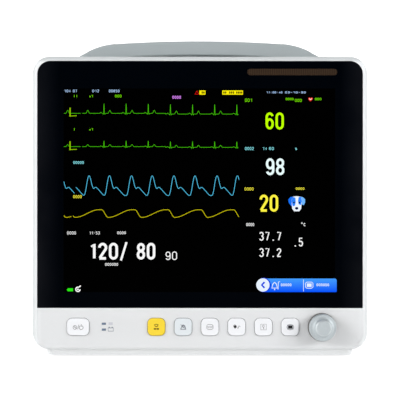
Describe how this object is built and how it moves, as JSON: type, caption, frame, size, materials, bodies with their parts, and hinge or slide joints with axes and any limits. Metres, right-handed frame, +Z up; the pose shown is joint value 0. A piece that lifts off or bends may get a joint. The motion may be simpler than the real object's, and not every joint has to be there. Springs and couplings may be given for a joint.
{
  "type": "patient monitor",
  "caption": "Bedside patient monitor with a wide screen, a row of push keys, a push-and-turn knob, an arched carry handle, a battery door and side patient sockets.",
  "frame": {"origin": "middle of the bounding box, on the table under the feet", "axes": "+X to the right seen from the front, -Y out of the screen towards the viewer, +Z up"},
  "size_m": [0.303, 0.155, 0.2927],
  "materials": {
    "case_white": "fine moulded texture",
    "base_grey": "fine moulded texture",
    "handle_grey": "fine moulded texture",
    "glass_black": "polished, printed black behind",
    "display": "lit liquid-crystal panel",
    "lens_smoke": "smoked clear plastic",
    "lamp_blue": "tinted light pipe",
    "key_white": "silicone-coated",
    "key_yellow": "silicone-coated",
    "key_blue": "silicone-coated",
    "knob_silver": "silver-painted",
    "foot_rubber": "matt",
    "board_green": "solder mask",
    "black_plastic": "moulded",
    "sheet_steel": "zinc-plated",
    "aluminium": "extruded",
    "brass": "turned",
    "bay_grey": "moulded",
    "battery_blue": "shrink-wrapped",
    "panel_grey": "moulded",
    "socket_green": "moulded",
    "socket_blue": "moulded",
    "socket_brown": "moulded",
    "port_grey": "plated",
    "hose_clear": "silicone"
  },
  "bodies": {
    "monitor": {"front_bezel": "case_white", "screen_glass": "glass_black", "display_panel": "display", "panel_brackets": "sheet_steel", "alarm_lens": "lens_smoke", "alarm_light_board": "board_green", "key_board": "board_green", "key_switches": "black_plastic", "indicator_pipes": "lamp_blue", "encoder_body": "sheet_steel", "rear_housing": "case_white", "carry_handle": "handle_grey", "handle_screws": "sheet_steel", "base_foot": "base_grey", "rubber_feet": "foot_rubber", "mount_inserts": "brass", "base_screws": "sheet_steel", "housing_screws": "sheet_steel", "chassis": "sheet_steel", "main_board": "board_green", "heat_sink": "aluminium", "power_supply": "board_green", "battery_bay": "bay_grey", "battery_pack": "battery_blue", "door_pin": "sheet_steel", "parameter_board": "board_green", "connector_panel": "panel_grey", "ecg_socket": "socket_green", "oxygen_socket": "socket_blue", "temperature_sockets": "socket_brown", "cuff_port": "port_grey", "air_pump": "black_plastic", "air_valve": "black_plastic", "air_tube": "hose_clear", "speaker": "black_plastic", "socket_plate": "sheet_steel", "mains_inlet": "black_plastic", "network_socket": "sheet_steel", "earth_stud": "brass"},
    "power_key_body": {"power_key": "key_white"},
    "silence_key_body": {"silence_key": "key_yellow"},
    "reset_key_body": {"reset_key": "key_blue"},
    "freeze_key_body": {"freeze_key": "key_white"},
    "cuff_key_body": {"cuff_key": "key_white"},
    "lead_key_body": {"lead_key": "key_white"},
    "menu_key_body": {"menu_key": "key_white"},
    "knob_push_body": {"encoder_plunger": "black_plastic"},
    "knob_turn_body": {"knob": "knob_silver", "encoder_shaft": "sheet_steel"},
    "battery_door_body": {"battery_door": "case_white"}
  },
  "joints": [
    {"name": "power_key_press", "type": "slide", "parent": "monitor", "child": "power_key_body", "axis": [0, 1, 0], "range_m": [0, 0.0012], "stiffness_N_per_m": 900},
    {"name": "silence_key_press", "type": "slide", "parent": "monitor", "child": "silence_key_body", "axis": [0, 1, 0], "range_m": [0, 0.0012], "stiffness_N_per_m": 900},
    {"name": "reset_key_press", "type": "slide", "parent": "monitor", "child": "reset_key_body", "axis": [0, 1, 0], "range_m": [0, 0.0012], "stiffness_N_per_m": 900},
    {"name": "freeze_key_press", "type": "slide", "parent": "monitor", "child": "freeze_key_body", "axis": [0, 1, 0], "range_m": [0, 0.0012], "stiffness_N_per_m": 900},
    {"name": "cuff_key_press", "type": "slide", "parent": "monitor", "child": "cuff_key_body", "axis": [0, 1, 0], "range_m": [0, 0.0012], "stiffness_N_per_m": 900},
    {"name": "lead_key_press", "type": "slide", "parent": "monitor", "child": "lead_key_body", "axis": [0, 1, 0], "range_m": [0, 0.0012], "stiffness_N_per_m": 900},
    {"name": "menu_key_press", "type": "slide", "parent": "monitor", "child": "menu_key_body", "axis": [0, 1, 0], "range_m": [0, 0.0012], "stiffness_N_per_m": 900},
    {"name": "knob_push", "type": "slide", "parent": "monitor", "child": "knob_push_body", "axis": [0, 1, 0], "range_m": [0, 0.0008], "stiffness_N_per_m": 3000},
    {"name": "knob_turn", "type": "hinge", "parent": "knob_push_body", "child": "knob_turn_body", "pos_m": [0.1101, -0.0625, 0.0277], "axis": [0, 1, 0], "continuous": true},
    {"name": "battery_door_swing", "type": "hinge", "parent": "monitor", "child": "battery_door_body", "pos_m": [0.1482, 0.0005, 0.0528], "axis": [0, 1, 0], "range_deg": [0, 90]}
  ]
}
